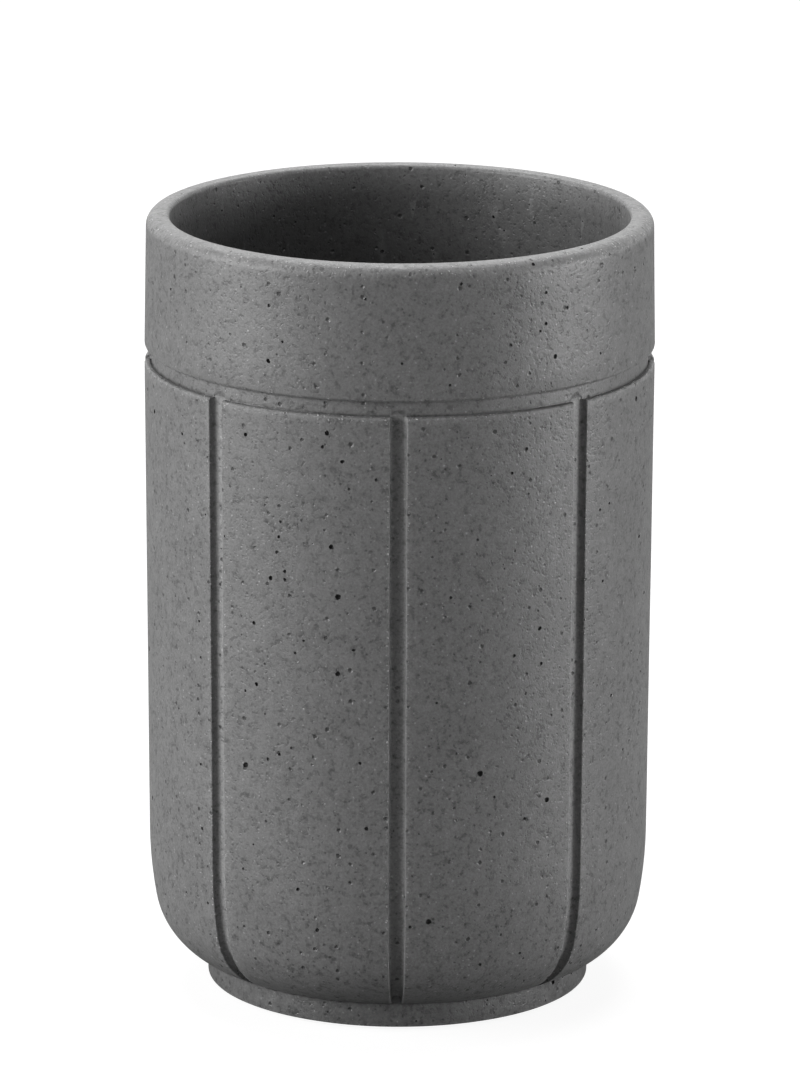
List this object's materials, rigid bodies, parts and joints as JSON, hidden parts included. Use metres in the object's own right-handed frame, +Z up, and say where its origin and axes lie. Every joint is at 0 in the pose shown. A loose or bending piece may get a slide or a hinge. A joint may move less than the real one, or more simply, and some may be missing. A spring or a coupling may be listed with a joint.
{
  "type": "bathroom tumbler",
  "caption": "Round cast stone bathroom tumbler with a plain collar over upright panels, a rounded lower corner, a stepped foot and a foam base pad.",
  "frame": {"origin": "centre of the pad's lower face, on which the tumbler stands", "axes": "+Z up along the tumbler's own axis, towards the rim; one of the upright grooves faces -Y"},
  "size_m": [0.075, 0.075, 0.1165],
  "materials": {
    "cast_stone": "matt cast stone with fine air holes and light grains",
    "adhesive": "thin double-sided acrylic film",
    "foam": "closed-cell foam, matt, finely pored"
  },
  "bodies": {
    "root": {"cast_body": "cast_stone", "pad_adhesive": "adhesive", "base_pad": "foam"}
  },
  "joints": []
}
